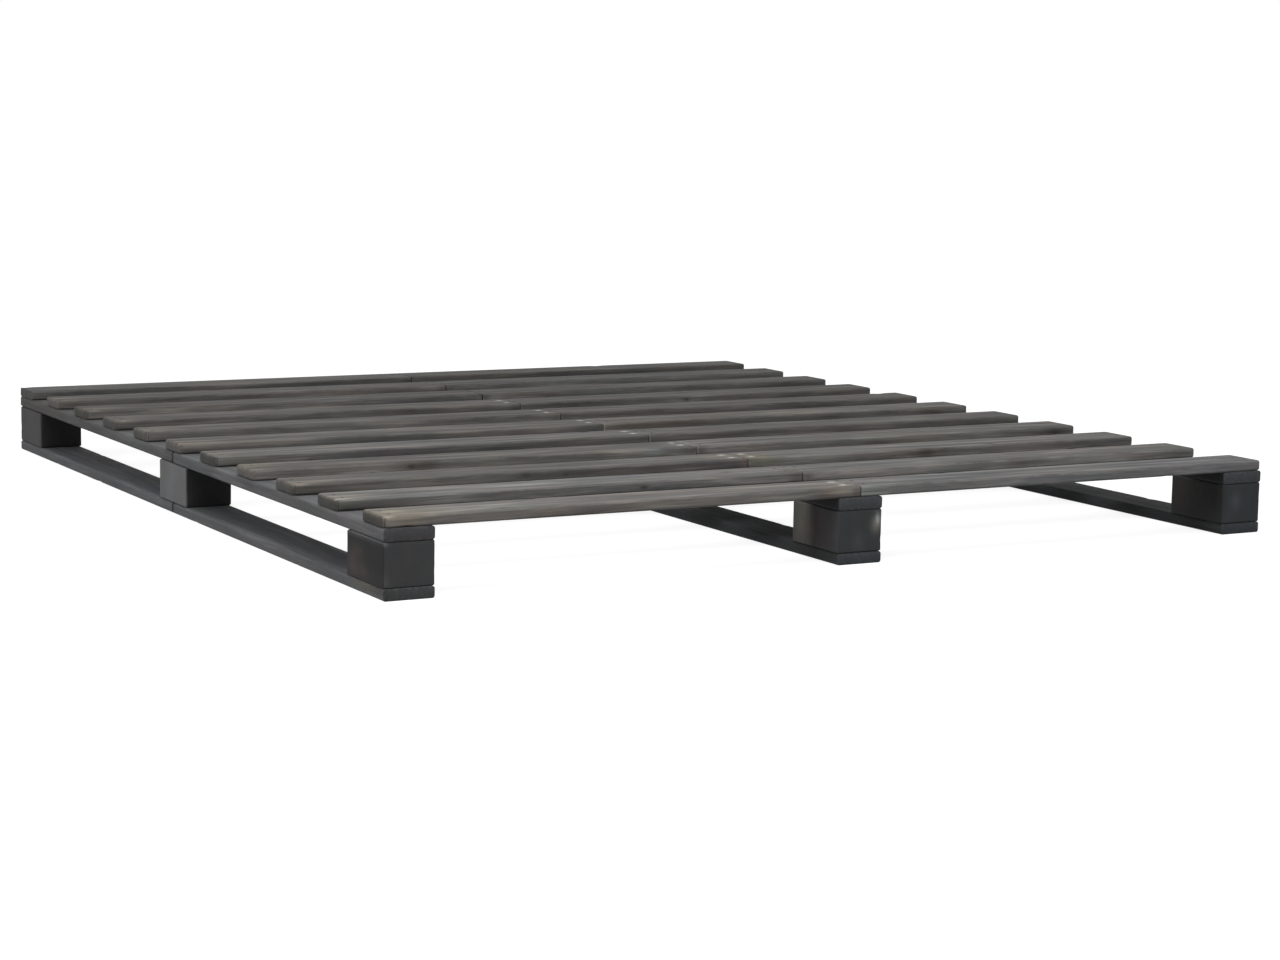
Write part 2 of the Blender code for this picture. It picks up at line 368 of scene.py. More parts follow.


# Writes what the finish reads at every point: where in the log the wood was, the way from
# the nearest knot, the tint of the stain with the painted highlights and painted shade in it,
# how worn the edge is and whether it is end grain.
# A knot is its place, its radius and the axis it runs along; a mark is its middle, half
# spread, tone and strength, all in mm.
def giveFields(mesh, middle, axes, half, look, draw, tone, marks, faceTones, knots=()):
    count = len(mesh.vertices)
    places, normals = np.zeros(count * 3), np.zeros(count * 3)
    mesh.vertices.foreach_get("co", places)
    mesh.vertices.foreach_get("normal", normals)
    places = (places.reshape(-1, 3) - middle)[:, axes]
    normals = normals.reshape(-1, 3)

    pith = [draw.choice((-1, 1)) * draw.uniform(*reach) * mm for reach in look["pith"]]
    tilt = [draw.uniform(-1, 1) * look["tilt"] for _ in range(2)]
    logPlace = np.stack([places[:, 0] + draw.uniform(-look["alongLog"], look["alongLog"]),
                         places[:, 1] - pith[0] + tilt[0] * places[:, 0],
                         places[:, 2] - pith[1] + tilt[1] * places[:, 0]], 1)

    knots = list(knots)
    for knot in range(draw.choice(look["knots"])):
        along, across = [draw.uniform(-within, within) * reach / mm
                         for within, reach in zip(look["knotWithin"], half)]
        if all(abs(along - other[0][0]) > look["knotApart"] for other in knots):
            knots.append(((along, across, 0), draw.uniform(*look["knotSize"]), 2))
    # With no knot near, both stay far off
    knotPlace, nearest = np.full((count, 3), 9.0), np.full(count, 99.0)
    for spot, size, through in knots:
        away = (places / mm - spot) / size
        away[:, through] *= look["knotTaper"]
        way = np.linalg.norm(away / (look["knotStretch"], 1, 1), axis=1)
        knotPlace[way < nearest] = away[way < nearest]
        nearest = np.minimum(nearest, way)
    near, far = look["knotFelt"]
    knotReach = np.clip((far - nearest) / (far - near), 0, 1)

    plain = toLinear("#808080")[0]
    tint = np.ones((count, 3)) * tone
    # Face tones: the wood's own tone, and on faces under the deck painted shade
    slope, start = look["faceTurn"]
    for face, faceTone in faceTones.items():
        faced = np.clip(slope * normals @ facing[face] - start, 0, 1)
        tint *= 1 + faced[:, None] * (np.array(faceTone) - 1)
    # Painted shade along the lower arris, where a piece sits on the one below, and low on its ends
    down, span = look["arrisTurn"]
    paintedUnderShade = np.clip(1 - np.abs(normals[:, 2] + down) / span, 0, 1)
    start, span = look["endTurn"]
    endGrain = np.clip((np.abs(normals[:, axes[0]]) - start) / span, 0, 1)
    dark, below = look["paintedLowEndShade"]
    paintedLowEndShade = dark * endGrain * np.clip(below - places[:, 2] / half[2], 0, 1)
    tint *= 1 - look["paintedUnderShade"] * np.maximum(paintedUnderShade, paintedLowEndShade)[:, None]
    # Marks: patches of stain and wear, and also painted highlights, painted glints and painted shade
    for centre, spread, hexTone, share in marks:
        away = (places / mm - centre) / spread
        felt = share * np.exp(-(away ** 2).sum(1))
        tint *= 1 + felt[:, None] * (np.array(toLinear(hexTone)[:3]) / plain - 1)
    fromFaces = np.sort(half - np.abs(places), axis=1) / mm
    edgeWear = np.clip(look["wearFull"] - fromFaces[:, 1] / look["wearReach"], 0, 1)
    for label, values in (("logPlace", logPlace), ("knotPlace", knotPlace), ("stainAndPaintedLight", tint)):
        field = mesh.attributes.new(label, "FLOAT_VECTOR", "POINT")
        field.data.foreach_set("vector", np.ravel(values))
    for label, values in (("knotReach", knotReach), ("edgeWear", edgeWear), ("endGrain", endGrain)):
        field = mesh.attributes.new(label, "FLOAT", "POINT")
        field.data.foreach_set("value", values)


# Cuts a piece and keeps the cut mesh, so that its fields are written on the final points
def drill(piece, cutter):
    cutting = piece.modifiers.new("drilled", "BOOLEAN")
    cutting.operation = "DIFFERENCE"
    cutting.solver = "EXACT"
    cutting.object = cutter
    graph = bpy.context.evaluated_depsgraph_get()
    cut = bpy.data.meshes.new_from_object(piece.evaluated_get(graph), depsgraph=graph)
    piece.modifiers.clear()
    before = piece.data
    piece.data = cut
    bpy.data.meshes.remove(before)


# A closed solid of revolution about Z, from a profile of (radius, height) run from top to bottom
def turned(profile, sides):
    shape = bmesh.new()
    rings = []
    for radius, height in profile:
        if radius == 0:
            rings.append([shape.verts.new((0, 0, height))])
            continue
        turn = [2 * math.pi * side / sides for side in range(sides)]
        rings.append([shape.verts.new((radius * math.cos(a), radius * math.sin(a), height)) for a in turn])
    for upper, lower in zip(rings, rings[1:]):
        for side in range(sides):
            after = (side + 1) % sides
            corners = [upper[side % len(upper)], lower[side % len(lower)],
                       lower[after % len(lower)], upper[after % len(upper)]]
            shape.faces.new(list(dict.fromkeys(corners)))
    mesh = bpy.data.meshes.new("turned")
    shape.to_mesh(mesh)
    shape.free()
    return mesh


# One object from a mesh set down at several stands
def gathered(name, mesh, stands):
    shape = bmesh.new()
    for stand in stands:
        single = mesh.copy()
        single.transform(stand)
        shape.from_mesh(single)
        bpy.data.meshes.remove(single)
    joined = bpy.data.meshes.new(name)
    shape.to_mesh(joined)
    shape.free()
    whole = bpy.data.objects.new(name, joined)
    scene.collection.objects.link(whole)
    return whole


# Countersunk wood screws with a cross recess, in mm. Heights run down from the face.
slatScrew = {
    "head": 8.0, "shank": 4.0, "sink": 0.1, "reach": 38.8, "point": 4.0, "rim": 0.35,
    "recess": 4.4, "slot": 1.1, "recessDepth": 2.0, "clearance": 0.3, "sides": 28,
    "fromEnd": 20, "fromSide": 27,
}
skidScrew = {
    "head": 12.0, "shank": 6.0, "sink": 1.0, "reach": 112.6, "point": 4.0, "rim": 0.5,
    "recess": 6.6, "slot": 1.6, "recessDepth": 3.0, "clearance": 0.3, "sides": 32,
    "innerFromMiddle": 37.5, "outerFromMiddle": 925,
}


def screwMesh(kind):
    head, shank, sink, rim = kind["head"] / 2, kind["shank"] / 2, kind["sink"], kind["rim"]
    # The head with its rim rounded in shares of the rim, the cone, the shank and the point
    profile = [
        (0, -sink), (head - rim, -sink), (head - 0.3 * rim, -sink - 0.1 * rim),
        (head, -sink - 0.45 * rim), (head - 0.25 * rim, -sink - 1.1 * rim),
        (shank, -sink - (head - shank) - 0.3 * rim), (shank, kind["point"] - kind["reach"]),
        (0.5 * shank, 0.4 * kind["point"] - kind["reach"]), (0, -kind["reach"]),
    ]
    solid = turned([(radius * mm, height * mm) for radius, height in profile], kind["sides"])
    blank = bpy.data.objects.new("screw blank", solid)
    scene.collection.objects.link(blank)
    # The recess: two crossed wedges that narrow as they go down
    punch = bmesh.new()
    top, bottom = 1 - sink, -sink - kind["recessDepth"]
    for turn in (0, math.pi / 2):
        sections = ((kind["recess"] / 2, kind["slot"] / 2, top),
                    (0.3 * kind["recess"], 0.35 * kind["slot"], bottom))
        corners = [(x * wide, y * thick, height) for wide, thick, height in sections
                   for x, y in ((-1, -1), (1, -1), (1, 1), (-1, 1))]
        around = Matrix.Rotation(turn, 4, "Z")
        verts = [punch.verts.new(around @ (Vector(corner) * mm)) for corner in corners]
        for quad in ((0, 1, 2, 3), (7, 6, 5, 4), (0, 4, 5, 1), (1, 5, 6, 2), (2, 6, 7, 3), (3, 7, 4, 0)):
            punch.faces.new([verts[corner] for corner in quad])
        single = bpy.data.meshes.new("punch")
        punch.to_mesh(single)
        punch.clear()
        tool = bpy.data.objects.new("punch", single)
        scene.collection.objects.link(tool)
        drill(blank, tool)
        bpy.data.objects.remove(tool)
    punch.free()
    mesh = blank.data
    bpy.data.objects.remove(blank)
    return mesh


# The hole for a screw, with its clearance, from above the face down to a depth or to its point
def holeMesh(kind, depth=None):
    over, depth = 2, depth or kind["reach"] + kind["clearance"]
    shank = kind["shank"] / 2 + kind["clearance"]
    mouth = kind["head"] / 2 + kind["sink"] + kind["clearance"]
    profile = [(0, over), (mouth + over, over), (shank, shank - mouth), (shank, -depth), (0, -depth)]
    return turned([(r * mm, z * mm) for r, z in profile], kind["sides"])


def removeTool(tool):
    mesh = tool.data
    bpy.data.objects.remove(tool)
    bpy.data.meshes.remove(mesh)


# Where the slat screws stand on one half slat, as places on its top face
def slatScrewPlaces(node):
    low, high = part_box(node)
    middle = (low.y + high.y) / 2
    beside = (high.y - low.y) / 2 - slatScrew["fromSide"] * mm
    ends = (low.x + slatScrew["fromEnd"] * mm, high.x - slatScrew["fromEnd"] * mm)
    return [Vector((x, middle + side * beside, high.z)) for x in ends for side in (-1, 1)]


# Slats, planed all round, their long edges well rounded. Lengths in mm.
slatLook = {
    "easing": 4.0, "corner": 7.5, "sawnBreak": 0.8,  # rounding of edges, of end corners, sawn arris
    "steps": (7, 7.5, 4.5), "sharpFrom": 32,  # the mesh along, across and through, and degrees
    "rubLengths": np.array([90, 60, 60]), "rubDepth": 0.7,
    "dents": 6, "dentSize": (2.5, 6), "dentShape": (0.5, 1, 1), "dentDepth": 0.28,  # share of its size
    "pith": ((0, 40), (45, 120)), "tilt": 0.015,  # how far off it lay, across and through, and its slant
    "alongLog": 20,  # metres, so that no two pieces are alike
    "knots": (0, 0, 1, 1), "knotApart": 120, "knotSize": (2.5, 5.5), "knotWithin": (0.9, 0.75),
    "knotTaper": 0.15, "knotFelt": (4, 8),  # fully felt and no longer felt, in its radii
    "knotStretch": 2.2, "knotBulge": 6, "knotHalo": 0.4,
    "ringWidth": 5, "wobbleDepth": 9,
    # shade over one ring, from the early wood to the dark late wood
    "ringShape": ((0, 0.35), (0.14, 0), (0.5, 0.1), (0.9, 1), (1, 0.35)),
    # each figure: length along the grain, width across it, and detail
    "wobble": (700, 60, 2), "fibres": (70, 1.8, 4), "streaks": (260, 17, 3),
    "blotches": (190, 34, 2), "rubbing": (40, 7, 3), "ruggedness": 0.6,
    # the levels of noise between which each of them comes to count: where the stain took, pale
    # streaks, streaks and fibres as shade, and worn edges
    "levels": {"took": (0.38, 0.62), "pale": (0.54, 0.7), "streak": (0.3, 0.64),
               "fibre": (0.3, 0.7), "rubbed": (0.42, 0.62)},
    "streakLift": 0.3, "endCalm": 0.85,  # streaks lighten less than they darken; ends are evener
    "coolStain": "#7f7e7d", "warmStain": "#8a8783", "paleStreak": "#b5b0a8", "paleShare": 0.45,
    "hueDrift": 0.14, "streakShade": 0.45, "fibreShade": 0.1, "ringShade": 0.1, "endShade": 0.42,
    "wornEdge": "#aca7a0", "wornShare": 0.3, "wearReach": 5, "wearFull": 1.3,
    "knotHeart": "#56524d", "knotRim": "#4a4743",
    # a knot in its radii: where heart and rim fade, how ragged it is, how soon the grain's bend dies
    "heartEnds": (0.5, 1.8), "rimStarts": (0.35, 0.8), "rimShare": 0.75, "knotRag": 0.5, "bulgeFall": 0.16,
    "roughness": 0.66, "lateSmooth": 0.07, "fibreRough": 0.16,
    "sheen": 0.15, "darkSheen": 0.15, "sheenTints": (0.5, 1.5),  # lengths of the tint, dark and light
    "relief": 0.3, "reliefShares": (0.5, 0.9, 0.8, 0.4),  # of late wood, fibres, streaks and knots
    "paintedUnderShade": 0.55,  # painted shade along the lower arris and low on the ends
    # by how its normal points, where a surface counts as a face, the lower arris or an end
    "faceTurn": (1.6, 0.6), "arrisTurn": (0.6, 0.35), "endTurn": (0.3, 0.5),
    "paintedLowEndShade": (0.5, 0.2),  # how dark, and from what share of the half height downwards
    "bow": 0.6, "warmth": (-0.015, 0.02),
    "paintedShadeToBack": 0.45, "darkerRows": 3,  # painted shade, darker on the rows further back where less light falls
    # the outer left ends, with painted highlight over pale wear on their tops and front corners:
    # how far in from the end, across and up, then the spread and the tone
    "endSpots": (((10, 60), (-30, 20), 9.5), ((4, 36), (-42, -30), 9)),
    "endWearAndHighlights": (((50, 24, 5), "#a4a097"), ((15, 6, 3), "#bebab2")), "endShare": (0.4, 1),
    # the inner screws, by rows, that were driven after the staining and stay bare, with the fibres torn
    # pale round them painted near white as a painted glint as well
    "bareScrews": {"left": (1, 3, 4, 5, 6, 7, 8), "right": (3,)},
    "tornFibreAndGlintMark": ((6.5, 5.5, 4), "#ecebe8", 1),
    # lighter and darker slats, and how dark their fronts and ends are. The seeds were searched for,
    # so that the draws come near the levels of the slats, fronts and left ends in the photo
    "tones": {"level": (0.75, 1.25), "front": (0.75, 1.67), "end": (0.53, 2.1)},
    "seeds": {"left": {"level": 92173, "front": 135777, "end": 19644},
              "right": {"level": 22673, "front": 66032, "end": 19644}},
}

# Marks that one slat has and the next has not, by its number from the front and its side: the
# middle and half spread in mm (X from the middle of the bed, across from the front edge, height
# from the slat's middle), the tone and how strongly it shows. A tone of 808080 leaves the stain
# as it is. The others were set from levels measured in the photo and in renders. Near the outer
# left ends, the lighter ones on the tops are painted highlight and the darker ones on the fronts
# and ends are painted shade. Those 8 mm from the middle even out a front beside the joint between
# the halves, and those 1 mm from it paint the sawn ends pale, as painted light in the shade of
# the narrowest joints.
slatMarks = {
    (1, "left"): [
        ((-868, 50, 9), (26, 12, 5), "#a8a79c", 0.9), ((-880, 78, 9), (30, 14, 5), "#a09c96", 0.7),
        ((-850, 10, 4), (55, 50, 16), "#88827b", 0.8), ((-905, 55, -4), (12, 40, 9), "#5f5d5b", 0.9),
        ((-612, 0, 0), (30, 6, 8), "#86817a", 0.8), ((-520, 0, 0), (110, 6, 12), "#827c7b", 0.9),
        ((-60, 10, 6), (42, 30, 12), "#8c857e", 0.8), ((-74, 0, -4), (22, 7, 7), "#6d6763", 0.8),
        ((-8, 0, 0), (10, 8, 14), "#6b6866", 1),
    ],
    (1, "right"): [
        ((24, 0, -2), (26, 8, 9), "#737b78", 0.9), ((500, 0, 0), (80, 8, 14), "#8e9090", 1),
        ((765, 0, 0), (70, 8, 14), "#6e7072", 1), ((450, 45, 0), (900, 300, 90), "#828385", 1),
        ((470, 30, 8), (26, 20, 6), "#7a767c", 0.7), ((640, 60, 8), (130, 30, 8), "#868588", 0.6),
        ((850, 20, 0), (120, 60, 14), "#7d7f85", 0.8),
    ],
    (2, "left"): [
        ((-14, 20, 0), (18, 34, 14), "#6e6762", 0.9), ((-880, 0, -3), (90, 18, 8), "#646461", 0.8),
    ],
    (2, "right"): [
        ((870, 0, 0), (40, 30, 12), "#6a6a6c", 0.7), ((380, 2, 2), (34, 14, 14), "#6c6967", 0.7),
        ((488, 2, 2), (40, 5, 9), "#625e5b", 0.8), ((8, 0, 0), (14, 8, 14), "#6b6865", 1),
    ],
    (3, "left"): [
        ((-890, 0, -3), (90, 18, 8), "#5e5e5b", 0.8), ((-36, 50, 9), (44, 26, 5), "#aeaaa2", 0.8),
        ((-8, 0, 0), (12, 8, 14), "#9c928c", 1),
    ],
    (3, "right"): [
        ((30, 20, 4), (34, 30, 12), "#86846f", 0.8), ((399, 2, 2), (26, 8, 12), "#5a5754", 0.85),
    ],
    (4, "left"): [
        ((-572, 2, 0), (30, 10, 12), "#585450", 0.8), ((-95, 8, 5), (30, 16, 12), "#737a80", 0.8),
        ((-22, 45, 9), (34, 22, 5), "#a3a5a4", 0.7), ((-8, 0, 0), (14, 8, 14), "#747173", 1),
    ],
    (4, "right"): [
        ((850, 4, 0), (28, 10, 12), "#5c5856", 0.85), ((8, 0, 0), (14, 8, 14), "#6b6a6b", 1),
        ((1, 45, 0), (1.5, 90, 20), "#c4c0be", 1),
    ],
    (5, "left"): [
        ((-565, 2, 0), (34, 8, 12), "#767074", 0.9), ((-830, 0, -2), (70, 16, 10), "#6c6d6c", 0.8),
    ],
    (5, "right"): [((1, 45, 0), (1.5, 90, 20), "#d6d4ce", 1)],
    (6, "right"): [
        ((105, 4, 0), (120, 16, 14), "#827b76", 0.9), ((806, 2, 0), (34, 8, 10), "#5e5a57", 0.8),
        ((320, 40, 8), (300, 60, 12), "#858079", 0.6), ((1, 45, 0), (1.5, 90, 20), "#beb9ae", 1),
    ],
    (7, "left"): [((-880, 40, 9), (40, 40, 6), "#8d8f8c", 0.8), ((-8, 0, 0), (14, 8, 14), "#6d6e6e", 1)],
    (7, "right"): [((8, 0, 0), (14, 8, 14), "#737272", 1)],
    (8, "left"): [((-8, 0, 0), (14, 8, 14), "#6e6d6c", 1)],
    (9, "left"): [
        ((-880, 40, 9), (40, 40, 6), "#8c8b89", 0.8), ((-850, 0, -2), (90, 16, 10), "#6e6e6c", 0.8),
    ],
    (9, "right"): [((8, 0, 0), (14, 8, 14), "#605f5f", 1)],
    (10, "left"): [((-8, 0, 0), (14, 8, 14), "#656464", 1)],
    (10, "right"): [((8, 0, 0), (14, 8, 14), "#757271", 1)],
    (11, "left"): [((-890, 45, 6), (60, 90, 14), "#6a6b6d", 0.9), ((-8, 0, 0), (14, 8, 14), "#6b6c6b", 1)],
}
# Knots that the fronts show: number, side, X and height from the slat's middle, radius in mm
slatKnots = [
    (2, "left", -325, 0, 3.2), (3, "left", -460, 3, 3.4), (3, "left", -380, 1, 2.8),
    (4, "left", -596, 1, 4.0), (8, "right", 410, 2, 3.0),
]


# The row, counted from the front, and the side that a half slat's name gives
def rowAndSide(node):
    return int(node[5:7]), node[8:]


# Whether a slat screw stands at the inner end and was driven after the staining
def staysBare(node, place):
    row, side = rowAndSide(node)
    low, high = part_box(node)
    return row in slatLook["bareScrews"][side] and abs(place.x) < abs(low.x + high.x) / 2


# How one slat is stained: its tone, the tones of its faces, its marks and its knots
def slatStain(node, draw):
    row, side = rowAndSide(node)
    low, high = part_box(node)
    middle = (low + high) / 2
    start = (middle.x / mm, (middle.y - low.y) / mm, 0)
    marks = [(tuple(np.subtract(centre, start)), *mark)
             for centre, *mark in slatMarks.get((row, side), ())]
    if side == "left" and row < rows:
        outer = -(high.x - low.x) / 2 / mm
        # Painted highlight over pale wear on the tops and front corners of the outer left ends
        spots = [(outer + draw.uniform(*inwards), draw.uniform(*across), up)
                 for inwards, across, up in slatLook["endSpots"]]
        marks += [(spot, *mark, draw.uniform(*slatLook["endShare"]))
                  for spot, mark in zip(spots, slatLook["endWearAndHighlights"])]
    # Pale torn fibres round the bare inner screws, painted near white as a painted glint as well
    marks += [(tuple((place - middle) / mm), *slatLook["tornFibreAndGlintMark"])
              for place in slatScrewPlaces(node) if staysBare(node, place)]
    knots = [((along - start[0], -start[1], up), radius, 1)
             for number, where, along, up, radius in slatKnots if (number, where) == (row, side)]
    level, front, end = [
        random.Random(f"{node} {part} {seed}").uniform(*slatLook["tones"][part])
        for part, seed in slatLook["seeds"][side].items()]
    warmth = draw.uniform(*slatLook["warmth"])
    # Painted shade: the rows further back are made darker, as the light falls off towards the back
    level *= 1 - slatLook["paintedShadeToBack"] * (1 - math.exp(-(row - 1) / slatLook["darkerRows"]))
    return {"tone": level * np.array([1 + warmth, 1, 1 - warmth]), "marks": marks, "knots": knots,
            "faceTones": {"left": end, "right": end, "front": front, "back": front}}


def makeSlats():
    finish = stainedPine("Pine, planed and grey stained", slatLook)
    low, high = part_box(slatNodes[0])
    hole = holeMesh(slatScrew, (high.z - low.z) / mm + 2)  # right through the slat
    for node in slatNodes:
        row, side = rowAndSide(node)
        draw = random.Random(node + " tone")
        bow = draw.uniform(-slatLook["bow"], slatLook["bow"]) * mm
        if row in (1, rows):
            bow = abs(bow) * (1 if row == 1 else -1)  # inwards, so that it stays in the bed's box
        ends = ("rounded", "sawn") if side == "left" else ("sawn", "rounded")
        if row == rows:
            ends = ("sawn", "sawn")
        tool = gathered("slat holes", hole, [Matrix.Translation(p) for p in slatScrewPlaces(node)])
        makeTimber(node, [0, 1, 2], slatLook, finish, "slat_pine", [tool], ends, bow,
                   **slatStain(node, draw))
        removeTool(tool)
    bpy.data.meshes.remove(hole)
    print("slats:", len(slatNodes))


# Boards of the skids: rougher stock with a cooler, darker stain, sawn square at the ends
boardLook = {
    **slatLook,
    "steps": (9, 7.5, 5), "rubLengths": np.array([110, 60, 60]), "toneDrift": (0.93, 1.07),
    "pith": ((0, 15), (70, 140)), "knots": (0, 0, 1), "knotSize": (3, 6),
    "coolStain": "#6b6e71", "warmStain": "#717274", "paleStreak": "#8e9193", "paleShare": 0.35,
    "wornEdge": "#868685", "wornShare": 0.25, "hueDrift": 0.12, "streakShade": 0.3, "endShade": 0.5,
    "darkSheen": 0.095,
}
# The boards' tone by layer and skid, the tones of their faces, marks on single boards as on
# the slats, but from the board's middle and along it first, and the painted shade in the joints
# over and under the middle block. The dark tone of the middle and right bottom boards, which
# their face tones take back on all faces but the top and the left, and the dark left faces of
# the middle and right top boards are painted shade under the deck; the marks on the tops of
# those bottom boards set the level of that painted shade.
boardTones = {
    ("bottom", "middle"): (0.38, 0.38, 0.38), ("bottom", "right"): (0.24, 0.24, 0.24),
    ("top", "left"): (1, 0.975, 0.955),
}
boardFaceTones = {
    ("bottom", "middle"): {"front": (2.6, 2.75, 2.85), "right": 2.1, "back": 2.1, "under": 2.1,
                           "left": 1.06},
    ("bottom", "right"): {"front": (3.6, 3.85, 4.1), "right": 3.2, "back": 3.2, "under": 3.2,
                          "left": 1.26},
    ("top", "left"): {"front": (0.98, 0.96, 1)},
    ("top", "middle"): {"front": (1.08, 1.08, 1.12), "left": 0.26},
    ("top", "right"): {"front": (1.08, 1.13, 1.17), "left": 0.19},
}
boardMarks = {
    "bottom_board_left_front": [((-420, -45, 4), (60, 12, 9), "#8b8475", 0.6),
                                ((-490, -45, 0), (60, 14, 14), "#6c6b6a", 0.9)],
    "bottom_board_middle_front": [((-74, 0, 10), (28, 60, 16), "#565859", 0.9),
                                  ((-279, 0, 10), (40, 60, 16), "#636363", 0.9)],
    "bottom_board_right_front": [((-65, 0, 10), (28, 60, 16), "#6e7070", 0.9),
                                 ((-160, 0, 10), (30, 60, 16), "#929292", 0.9)],
    "top_board_left_front": [((101, -45, 0), (36, 14, 30), "#6e6e6e", 0.9),
                             ((301, -45, 0), (36, 14, 30), "#6e6e6e", 0.9)],
    "top_board_left_back": [((0, -45, -4), (520, 14, 14), "#787574", 0.9),
                            ((-473, -45, 0), (24, 14, 30), "#706f6f", 1),
                            ((420, -20, 0), (260, 60, 30), "#6c6865", 0.8)],
}
paintedJointShade = ((5, 90, 30), "#3c3c3c", 0.8)

skids = ("left", "middle", "right")
under = Matrix.Rotation(math.pi, 4, "X")  # turns a screw or its hole to go in from below


def skidScrewPlaces():
    spots = {}
    for skid in skids:
        low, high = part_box(f"block_{skid}_middle")
        across = (low.x + high.x) / 2
        for end, way in (("front", -1), ("back", 1)):
            for which in ("outer", "inner"):
                along = way * skidScrew[which + "FromMiddle"] * mm
                spots[f"{skid}_{end}_{which}"] = Vector((across, along, 0))
    return spots


# Those of some places that lie over or under a timber
def atTimber(node, places):
    low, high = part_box(node)
    return [place for place in places if low.x < place.x < high.x and low.y < place.y < high.y]


def makeBoards():
    finish = stainedPine("Pine, sawn and grey stained", boardLook)
    slatHole, skidHole = holeMesh(slatScrew), holeMesh(skidScrew)
    tips = [place for slat in slatNodes for place in slatScrewPlaces(slat)]
    for skid in skids:
        for end in ("front", "back"):
            for layer in ("bottom", "top"):
                node = f"{layer}_board_{skid}_{end}"
                low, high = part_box(node)
                stands = [Matrix.Translation(p) @ under for p in atTimber(node, skidScrewPlaces().values())]
                tools = [gathered("skid holes", skidHole, stands)]
                if layer == "top":
                    stands = [Matrix.Translation(p) for p in atTimber(node, tips)]
                    tools.append(gathered("pilot holes", slatHole, stands))
                draw = random.Random(node + " tone")
                # The middle and right bottom boards carry painted shade in their tone
                tone = draw.uniform(*boardLook["toneDrift"]) * np.array(boardTones.get((layer, skid), 1))
                joint = (high.y - low.y) / 2 / mm * (1 if end == "front" else -1)
                # Painted shade at the joint end, then the board's own marks
                marks = [((joint, 0, 0), *paintedJointShade), *boardMarks.get(node, ())]
                makeTimber(node, [1, 0, 2], boardLook, finish, "board_pine", tools, ("sawn", "sawn"),
                           tone=tone, marks=marks, faceTones=boardFaceTones.get((layer, skid), {}))
                for tool in tools:
                    removeTool(tool)
    for mesh in (slatHole, skidHole):
        bpy.data.meshes.remove(mesh)
    print("skid boards: 12")


# Blocks: sawn posts set with the grain upright, dark and even where the stain soaked in
blockLook = {
    **slatLook,
    "easing": 3.0, "steps": (6, 6, 6), "toneDrift": (0.95, 1.05),
    "rubLengths": np.array([60, 60, 60]), "rubDepth": 0.5, "dents": 3, "dentSize": (2, 4),
    "pith": ((10, 70), (10, 90)), "tilt": 0.04, "knots": (0,), "ringWidth": 4,
    "wobble": (120, 50, 2), "fibres": (30, 2.4, 3), "streaks": (120, 60, 2),
    "blotches": (50, 34, 3), "rubbing": (20, 8, 3),
    "coolStain": "#545557", "warmStain": "#555555", "paleStreak": "#626262", "paleShare": 0.2,
    "wornEdge": "#6c6b6a", "wornShare": 0.06, "hueDrift": 0.05, "streakShade": 0.1, "fibreShade": 0.04,
    "ringShade": 0.03, "endShade": 0.1, "relief": 0.15,
}
# Tones of single blocks and of their faces, and marks on them as on the boards, with their
# places upwards first, then X and Y. The dark fronts of the left middle and back blocks and the
# dark left face of the right front block are painted shade under the deck. On the left faces of
# the middle and right front blocks, the lighter mark at the back is painted light that falls
# through the gap behind the front slat, and the darker ones further forward are painted shade
# under that slat; the white line along the top of the left front block's left face is a painted
# highlight.
blockTones = {"left_middle": 2.3, "left_back": 1.4, "right_front": 0.85}
blockFaceTones = {
    "left_front": {"left": 0.2, "front": 0.73},
    "left_middle": {"front": 0.16},
    "left_back": {"front": 0.3, "left": 0.8},
    "middle_front": {"left": 0.85, "front": (0.66, 0.7, 0.71)},
    "right_front": {"left": 0.4, "front": (0.72, 0.76, 0.79)},
}
blockMarks = {
    "left_front": [
        ((-27, -45, 10), (12, 10, 80), "#cdc6c1", 0.75), ((-6, -45, 52), (20, 10, 24), "#dccdc5", 0.85),
        ((9, -45, 22), (10, 10, 22), "#c8b4aa", 0.7), ((-14, -45, 8), (12, 10, 18), "#cabab1", 0.6),
        ((36, -45, 0), (3, 6, 120), "#ffffff", 0.9),
    ],
    "middle_front": [
        ((0, -45, 40), (60, 10, 30), "#b6b2a5", 1), ((10, 33, -75), (13, 9, 6), "#f4eadf", 0.95),
        ((0, -45, 2), (60, 10, 12), "#65615f", 1), ((22, 38, -75), (9, 5, 6), "#ffffff", 0.8),
        ((-18, -4, -75), (16, 12, 6), "#98999a", 0.7), ((0, -45, -20), (60, 10, 40), "#756a66", 0.6),
    ],
    "right_front": [
        ((4, -12, -75), (14, 9, 6), "#acaeb0", 0.8), ((0, -45, 40), (50, 10, 30), "#8f8580", 0.8),
        ((12, -45, -50), (30, 10, 26), "#484848", 0.8),
    ],
}


def makeBlocks():
    finish = stainedPine("Pine post, grey stained", blockLook)
    hole = holeMesh(skidScrew)
    for skid in skids:
        for which in ("front", "middle", "back"):
            node = f"block_{skid}_{which}"
            stands = [Matrix.Translation(p) @ under for p in atTimber(node, skidScrewPlaces().values())]
            tool = gathered("block holes", hole, stands)
            key = f"{skid}_{which}"
            draw = random.Random(node + " tone")
            # Tones, face tones and marks, some of them painted shade, painted light and a painted highlight
            tone = draw.uniform(*blockLook["toneDrift"]) * blockTones.get(key, 1)
            makeTimber(node, [2, 0, 1], blockLook, finish, "block_pine", [tool], tone=tone,
                       marks=blockMarks.get(key, ()), faceTones=blockFaceTones.get(key, {}))
            removeTool(tool)
    bpy.data.meshes.remove(hole)
    print("blocks: 9")


